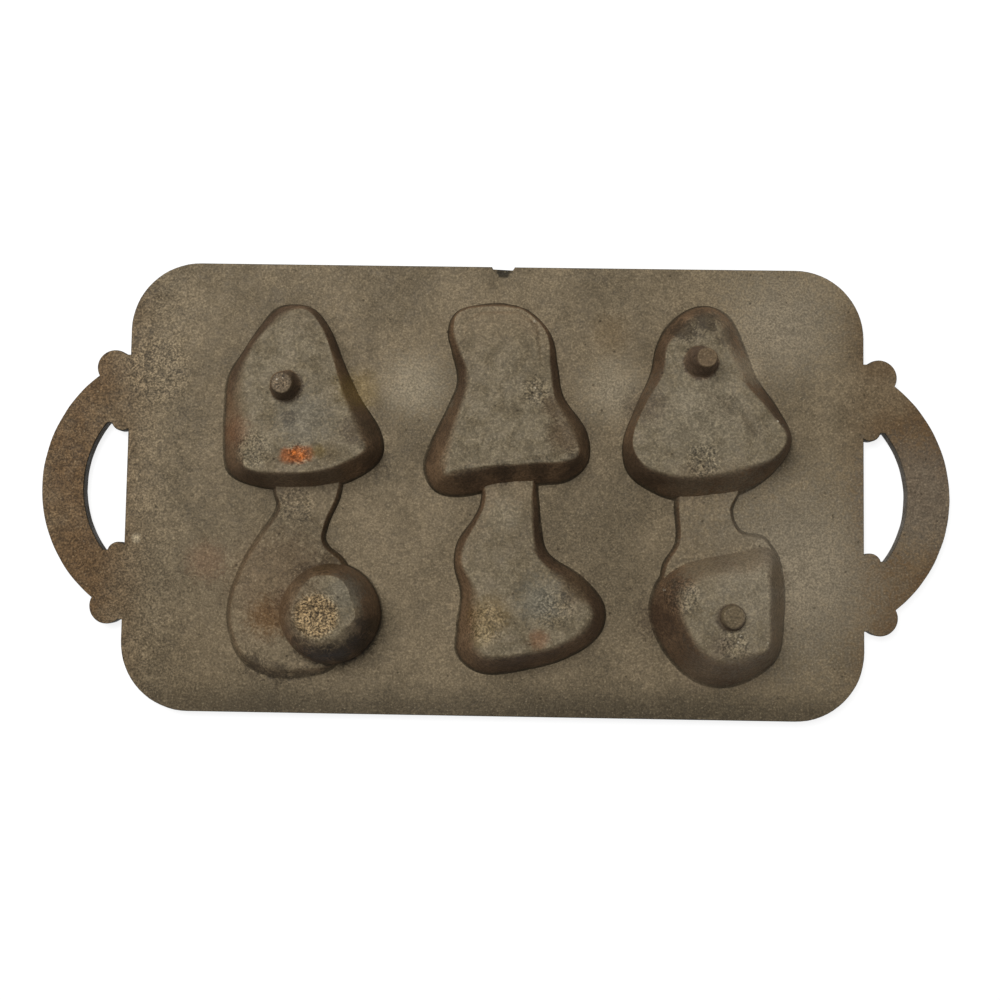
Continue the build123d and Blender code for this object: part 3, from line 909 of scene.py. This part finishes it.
# Patches of colour: films, soot and rust left by use, and painted shade and painted light where noted below:
# (x, y, radius, softness, colour, strength)
patchFray = 1.5  # how far the crinkles shift a patch's edge, as a share of its soft rim
patchFade = 3  # the rim reaches inwards this many times further than outwards
stainsShadeAndLight = [
    (-80, 2, 10, 0.7, "#7a6a55", 0.4), (-64, 3, 7, 0.7, "#7a6a55", 0.3),
    (76, 2.5, 10, 0.7, "#7a6a55", 0.4), (91, 4, 9, 0.7, "#7a6a55", 0.35),
    (82, -69, 10, 0.7, "#7a6a55", 0.4), (98, -67, 10, 0.7, "#7a6a55", 0.4),
    # Painted shade on the right shoulders of the middle cap, the left cap and the middle stem
    (28, 20.5, 8.5, 0.5, "#4f3f2d", 0.7), (23.5, 31.5, 6, 0.5, "#4f3f2d", 0.65),
    (-52.5, 21, 7.5, 0.5, "#473a2a", 0.6), (32, -38.5, 7, 0.5, "#4c3d2b", 0.6),
    (-84, -38, 23, 0.5, "#5f4d38", 0.55), (-118, -68, 30, 0.8, "#63553f", 0.4),
    # Painted light on the right half: two pale patches
    (118, -30, 42, 0.8, "#968b77", 0.5), (112, 66, 26, 0.8, "#968b77", 0.45),
    (46, 40, 14, 0.8, "#998e78", 0.4), (80, 30, 22, 0.6, "#8f8673", 0.25),
    (165, 0, 26, 0.6, "#70675a", 0.5), (4.5, -10.5, 8, 0.7, "#8d826c", 0.4),
    (-32, 40, 15, 0.8, "#998e78", 0.5), (-53.3, 38.3, 9, 0.7, "#8a733f", 0.35),
    (-112, -30, 9, 0.7, "#7d5a42", 0.3), (45, 62, 9, 0.7, "#6b583c", 0.4),
    (-139.9, -21.4, 2.2, 0.6, "#ad9e82", 0.6), (-72.5, 24.7, 12, 0.7, "#706d63", 0.35),
    (-78.3, 25.4, 3.6, 0.6, "#3a332b", 0.45), (-99, 20.5, 7, 0.7, "#6e4830", 0.4),
    (-73, 64, 9, 0.7, "#56493a", 0.15), (-62, 12, 5, 0.8, "#5f5038", 0.4),
    (-46.8, 11, 7, 0.7, "#241c14", 0.35), (-78.2, 10.7, 3.4, 0.5, "#8a4b1f", 0.75),
    (-74.2, 11, 3.8, 0.5, "#985220", 0.8), (-70.6, 11.7, 3.2, 0.5, "#884c1f", 0.7),
    (-66.5, 12.6, 3.4, 0.6, "#5f4f2c", 0.7), (-86.6, -51.2, 9, 0.8, "#65441f", 0.55),
    (-80, -46, 7, 0.8, "#4f3b28", 0.7), (-72, -34, 5, 0.7, "#3f3122", 0.7),
    # From (-72, -62) to (-46, -53.5): painted shade along the lower right of the ball
    (-63, -30, 6, 0.7, "#3d2f1d", 0.7), (-72, -62, 5.5, 0.6, "#241a11", 0.7),
    (-65, -65, 5.5, 0.6, "#140d07", 0.85), (-57, -64.5, 5.5, 0.6, "#120c06", 0.85),
    (-50, -60.5, 5.5, 0.6, "#150f08", 0.8), (-46, -53.5, 4.5, 0.6, "#1e180e", 0.6),
    (-55, -41.5, 8, 0.7, "#726c5d", 0.5), (-65, -49.6, 8.8, 0.25, "#8b7350", 0.65),
    (-0.4, -48.8, 9, 0.7, "#7d6436", 0.35), (18.6, -42.7, 10, 0.8, "#686961", 0.35),
    (18.3, -57.5, 4.5, 0.7, "#7c4a26", 0.4), (-2.7, -56.5, 5, 0.7, "#8a7854", 0.45),
    # From (80, -28) to (108.5, -56): painted light on the bulb's top and right walls
    (80, -28, 10, 0.7, "#766852", 0.6), (96, -24, 9, 0.7, "#766852", 0.5),
    (109, -33, 6, 0.7, "#72624c", 0.6), (109.5, -45, 6, 0.7, "#72624c", 0.6),
    # (64, -50): painted shade on the bulb's left wall
    (108.5, -56, 6, 0.7, "#72624c", 0.5), (64, -50, 9, 0.8, "#35251a", 0.5),
    (72.5, 62, 5.5, 0.6, "#33291d", 0.75), (81, 65.5, 6, 0.6, "#33291d", 0.75),
    (89, 60, 5, 0.6, "#43372a", 0.5), (98.5, 48.5, 7, 0.7, "#9a8c74", 0.6),
    # (58.5, 32.5): painted shade on the right cap's left wall; (90, 32) and (99, 24): painted shade in its
    # long crease
    (58.5, 32.5, 8.5, 0.8, "#463829", 0.6), (90, 32, 5, 0.8, "#4f4536", 0.4),
    # From (-10, 3.5) to (30, 10): painted shade along the middle cap's bottom wall, under its lip
    (99, 24, 5, 0.8, "#4c4233", 0.45), (-10, 3.5, 5, 0.7, "#1f1711", 0.5),
    (4, 5.5, 5, 0.7, "#1f1711", 0.55), (18, 7.5, 5, 0.7, "#1f1711", 0.55),
    (30, 10, 4.5, 0.7, "#1f1711", 0.45),
    (-75.9, 11.9, 1.3, 0.6, "#b0612a", 0.7), (-73.1, 10.3, 1.3, 0.6, "#ab5f2a", 0.7),
    # Painted shade round each foot peg, with a patch of the plain colour on its top
    (-79.7, 37.4, 6.8, 0.15, "#3f3327", 0.8), (-80.2, 37.7, 3.9, 0.12, "#6c5d49", 0.9),
    (78.9, 48.8, 7.2, 0.15, "#4c3d30", 0.85), (80, 49.6, 3.9, 0.12, "#66553f", 0.9),
    (89.2, -48.2, 5.6, 0.2, "#3f3429", 0.8), (89.9, -47.4, 4.3, 0.12, "#675a45", 0.9),
    # (2.6, 86.4): painted shade in the gate chip
    (2.6, 86.4, 3, 0.3, "#211d12", 0.9), (86, -58.5, 5.5, 0.7, "#584b3d", 0.5),
    # From (-92, -70) to (-74, -73.5): painted shadow below the ball
    (-92, -70, 6, 0.7, "#2f261c", 0.65), (-83, -73, 5.5, 0.7, "#2f261c", 0.65),
    (-74, -73.5, 5, 0.7, "#30271d", 0.5),
]
# Painted glints, small bright highlights on spots that use has polished: (x, y, radius)
glintShares = (0.2, 1.3)  # of the radius: where it begins to fade, and where it ends
glintFray = 9
glintStrength = 0.8
glints = [
    (14.9, 65.9, 0.9), (15.6, 38.6, 0.5), (17.8, 36.6, 0.5), (108.1, 26.8, 0.6), (66.2, -38.2, 0.6),
    (93.4, -54.6, 0.6), (92.3, -57, 0.5), (-82, 39, 0.5), (-79.8, 39.7, 0.4), (103.5, -57, 0.5),
]
# Places with a coarser skin, ground, pitted or rusted: (x, y, radius, added contrast)
coarseShares = (0.7, 1.1)
coarse = [
    (-65, -49.6, 9.5, 0.5), (-74.3, 11.2, 5, 0.3), (79.5, 11, 7, 0.3), (15.5, 37, 6, 0.25),
    (-92, 13, 8, 0.2), (72, -40, 7, 0.25), (91, -58, 6, 0.25), (-77, -8, 8, 0.2),
    (-81, 39, 4.5, 0.3), (-2, -52, 8, 0.2), (24, -46, 8, 0.2), (-133, 45, 14, 0.15),
]


def emptyTree(owner):
    owner.use_nodes = True
    owner.node_tree.nodes.clear()
    return owner.node_tree


def spot(tree, ground, place, fray, core, rim, strength):
    # A mask round a place on the pan: its strength inside the core, and none past the rim
    away = addNode(tree, "VectorMath", {"operation": "DISTANCE"}, {0: ground, 1: (*place, 0)})
    away = addNode(tree, "Math", plus, {0: away, 1: fray})
    return addNode(
        tree, "MapRange", smooth,
        {"Value": away, "From Min": core, "From Max": rim, "To Min": strength, "To Max": 0.0},
    )


def ironMaterial(name):
    material = bpy.data.materials.new(name)
    tree = emptyTree(material)
    paint = {key: linear(value) for key, value in iron.items() if isinstance(value, str)}
    ends = ("From Min", "From Max", "To Min", "To Max")
    span = {key: dict(zip(ends, values)) for key, values in spans.items()}
    coord = addNode(tree, "TexCoord", {}, {})
    at = addNode(tree, "Mapping", {}, {"Vector": coord.outputs["Object"], "Scale": (1 / mm,) * 3})
    where = addNode(tree, "SeparateXYZ", {}, {"Vector": at}).outputs
    geometry = addNode(tree, "NewGeometry", {}, {}).outputs
    facing = addNode(tree, "SeparateXYZ", {}, {"Vector": geometry["Normal"]}).outputs["Z"]
    noises = {}
    for pattern, (size, detail, rough, warp) in patterns.items():
        values = {"Vector": at, "Scale": 1 / size, "Detail": detail, "Roughness": rough, "Distortion": warp}
        noises[pattern] = addNode(tree, "TexNoise", {}, values)
    blotch, mottle, crinkle, grain = noises.values()

    # Masks: flat or wall, raised crown, near the plate, held by hands, pitted left end
    ragged = addNode(tree, "MapRange", {}, {"Value": mottle, **span["ragged"]})
    level = addNode(tree, "Math", plus, {0: facing, 1: ragged})
    flatShare = addNode(tree, "MapRange", {}, {"Value": level, **span["flat"]})
    sideways = addNode(tree, "Math", unsigned, {0: where["X"]})
    masks = {}
    for mask, value in (
        ("raised", where["Z"]), ("low", where["Z"]), ("frontEdgeDark", where["Y"]), ("pitted", where["X"]),
        ("held", sideways), ("patchy", blotch), ("tone", blotch), ("wear", mottle),
        ("clustered", mottle), ("dull", mottle),
    ):
        masks[mask] = addNode(tree, "MapRange", smooth, {"Value": value, **span[mask]})
    handWear = addNode(tree, "Math", times, {0: masks["held"], 1: masks["patchy"]})

    # Colours, from the broad ones to the small ones
    plain, wornSheen, side = (
        addNode(tree, "Mix", blend, {"Factor": masks[mask], "A": paint[skin], "B": paint[skin + "Dark"]})
        for mask, skin in (("tone", "flat"), ("wear", "wornSheen"), ("tone", "side"))
    )
    # raised crowns greyer: wear and painted sheen
    top = addNode(tree, "Mix", blend, {"Factor": masks["raised"], "A": plain, "B": wornSheen})
    top = addNode(tree, "Mix", blend, {"Factor": handWear, "A": top, "B": paint["held"]})
    # painted shade: the low walls darken towards the plate
    side = addNode(tree, "Mix", blend, {"Factor": masks["low"], "A": side, "B": paint["foot"]})
    # walls take the wall colour by how far they face up: a film and painted shade
    colour = addNode(tree, "Mix", blend, {"Factor": flatShare, "A": side, "B": top})
    # darker towards the front edge below the stems
    colour = addNode(tree, "Mix", blend, {"Factor": masks["frontEdgeDark"], "A": colour, "B": paint["foot"]})

    # The patches are those of the back, so the baking face and the hollows, which face down, have none
    outside = addNode(tree, "MapRange", {}, {"Value": facing, **span["outside"]})
    clean = colour
    ground = addNode(tree, "VectorMath", times, {0: at, 1: (1, 1, 0)})
    for x, y, radius, softness, code, strength in stainsShadeAndLight:
        reach = radius * softness * patchFray
        fray = addNode(tree, "MapRange", {}, {"Value": crinkle, "To Min": -reach, "To Max": reach})
        core = radius * (1 - softness)
        rim = radius * (1 + softness / patchFade)
        near = spot(tree, ground, (x, y), fray, core, rim, strength)
        colour = addNode(tree, "Mix", blend, {"Factor": near, "A": colour, "B": linear(code)})
    colour = addNode(tree, "Mix", blend, {"Factor": outside, "A": clean, "B": colour})
    # Ridges paler as painted highlight and wear, dents darker as painted shade
    for bend, skin in (("ridgeWearAndHighlight", "edge"), ("dentShade", "stroke")):
        mask = addNode(tree, "MapRange", {}, {"Value": geometry["Pointiness"], **span[bend]})
        mask = addNode(tree, "Math", times, {0: mask, 1: masks["raised"]})
        colour = addNode(tree, "Mix", blend, {"Factor": mask, "A": colour, "B": paint[skin]})

    # Skin of the casting: crinkles and grain, thin dark strokes, pale specks and pits
    contrast = addNode(tree, "Math", plus, {0: masks["pitted"], 1: iron["contrast"]})
    for x, y, radius, added in coarse:
        core, rim = (radius * share for share in coarseShares)
        near = spot(tree, ground, (x, y), 0.0, core, rim, added)
        near = addNode(tree, "Math", times, {0: near, 1: outside})
        contrast = addNode(tree, "Math", plus, {0: contrast, 1: near})
    for pattern in (crinkle, grain):
        swing = addNode(tree, "MapRange", smooth, {"Value": pattern, **span["swing"]})
        uneven = addNode(tree, "Math", timesPlus, {0: swing, 1: contrast, 2: 1.0})
        colour = addNode(tree, "Mix", shade, {"Factor": 1.0, "A": colour, "B": uneven})
    fold = addNode(tree, "Math", {"operation": "SUBTRACT"}, {0: crinkle, 1: 0.5})
    fold = addNode(tree, "Math", unsigned, {0: fold})
    pits = addNode(tree, "TexVoronoi", {}, {"Vector": at, "Scale": 1 / iron["pitSize"]})
    clustered = masks["clustered"]
    for mark, pattern, limit in (
        ("stroke", fold, clustered), ("speck", grain, flatShare), ("pit", pits, clustered),
    ):
        mask = addNode(tree, "MapRange", smooth, {"Value": pattern, **span[mark]})
        masks[mark] = addNode(tree, "Math", times, {0: mask, 1: limit})
        colour = addNode(tree, "Mix", blend, {"Factor": masks[mark], "A": colour, "B": paint[mark]})

    # Painted glints
    bright = 0.0
    for x, y, radius in glints:
        fray = addNode(tree, "Math", times, {0: fold, 1: radius * glintFray})
        core, rim = (radius * share for share in glintShares)
        near = spot(tree, ground, (x, y), fray, core, rim, glintStrength)
        bright = addNode(tree, "Math", greater, {0: bright, 1: near})
    bright = addNode(tree, "Math", times, {0: bright, 1: outside})
    colour = addNode(tree, "Mix", blend, {"Factor": bright, "A": colour, "B": paint["glint"]})

    height = addNode(tree, "Math", timesPlus, {0: grain, 1: iron["grainHeight"], 2: crinkle})
    height = addNode(tree, "Math", timesPlus, {0: masks["pit"], 1: -iron["pitDepth"], 2: height})
    bump = addNode(
        tree, "Bump", {},
        {"Strength": iron["bumpStrength"], "Distance": iron["bumpHeight"] * mm, "Height": height},
    )
    shader = addNode(
        tree, "BsdfPrincipled", {},
        {
            "Base Color": colour, "Roughness": masks["dull"], "Normal": bump,
            "Specular IOR Level": iron["specular"],
        },
    )
    addNode(tree, "OutputMaterial", {}, {"Surface": shader})
    return material


seasonedIron = ironMaterial("seasonedCastIron")
for piece in full.values():
    piece.data.materials.append(seasonedIron)
print("finished", len(full), "pieces in", seasonedIron.name)

# Floor and backdrop: white where the camera or a reflection sees them, with the pan's soft shadow
studio = {
    "floorSize": 2.0,     # metres
    "floorGap": 0.0004,   # metres under the pan, so that the two don't touch
    "floorGrey": "#8c8c8c",
    "glow": 0.84,         # lifts the floor to white for the camera
    "fill": 0.24,         # strength of the world's light on the pan
}


def seenMask(tree):
    # 1 where the camera or a reflection looks, 0 for the light that falls on the pan
    path = addNode(tree, "LightPath", {}, {})
    mask = path.outputs["Is Camera Ray"]
    for ray in ("Is Glossy Ray", "Is Transmission Ray"):
        mask = addNode(tree, "Math", greater, {0: mask, 1: path.outputs[ray]})
    return mask


bm = bmesh.new()
bmesh.ops.create_grid(bm, x_segments=1, y_segments=1, size=studio["floorSize"] / 2)
bmesh.ops.translate(bm, verts=bm.verts, vec=Vector((0, 0, -studio["floorGap"])))
floor = newPiece("floor", bm)
paper = bpy.data.materials.new("paleBackdropPaper")
tree = emptyTree(paper)
matte = addNode(tree, "BsdfDiffuse", {}, {"Color": linear(studio["floorGrey"])})
glow = addNode(tree, "Math", times, {0: seenMask(tree), 1: studio["glow"]})
shine = addNode(tree, "Emission", {}, {"Strength": glow})
both = addNode(tree, "AddShader", {}, {0: matte, 1: shine})
addNode(tree, "OutputMaterial", {}, {"Surface": both})
floor.data.materials.append(paper)

world = bpy.data.worlds.new("studioAir")
bpy.context.scene.world = world
tree = emptyTree(world)
strength = addNode(tree, "MapRange", {}, {"Value": seenMask(tree), "To Min": studio["fill"]})
air = addNode(tree, "Background", {}, {"Color": (1, 1, 1, 1), "Strength": strength})
addNode(tree, "OutputWorld", {}, {"Surface": air})

# One large soft lamp above the upper left, in metres and watts
softbox = {"at": (-0.34, 0.46, 1.0), "size": 0.75, "watts": 12.3}
lampData = bpy.data.lights.new("overheadSoftbox", "AREA")
lampData.shape = "SQUARE"
lampData.size = softbox["size"]
lampData.energy = softbox["watts"]
lamp = bpy.data.objects.new("overheadSoftbox", lampData)
lamp.location = softbox["at"]
lamp.rotation_euler = (-Vector(softbox["at"])).to_track_quat("-Z", "Y").to_euler()
bpy.context.scene.collection.objects.link(lamp)

# Camera straight above the pan, as in the photograph, in metres and radians
viewpoint = {
    "at": (0.00787, -0.02784, 0.42693),
    "turn": (0.0560, 0.0116, 0.0159),
    "lens": 38.88,  # millimetres, as the sensor
    "sensor": 36.0,
    "nearClip": 0.01,
}
cameraData = bpy.data.cameras.new("camera")
cameraData.lens = viewpoint["lens"]
cameraData.sensor_width = viewpoint["sensor"]
cameraData.clip_start = viewpoint["nearClip"]
camera = bpy.data.objects.new("camera", cameraData)
camera.location = viewpoint["at"]
camera.rotation_euler = Euler(viewpoint["turn"])
bpy.context.scene.collection.objects.link(camera)
bpy.context.scene.camera = camera
bpy.context.scene.view_settings.view_transform = "Standard"
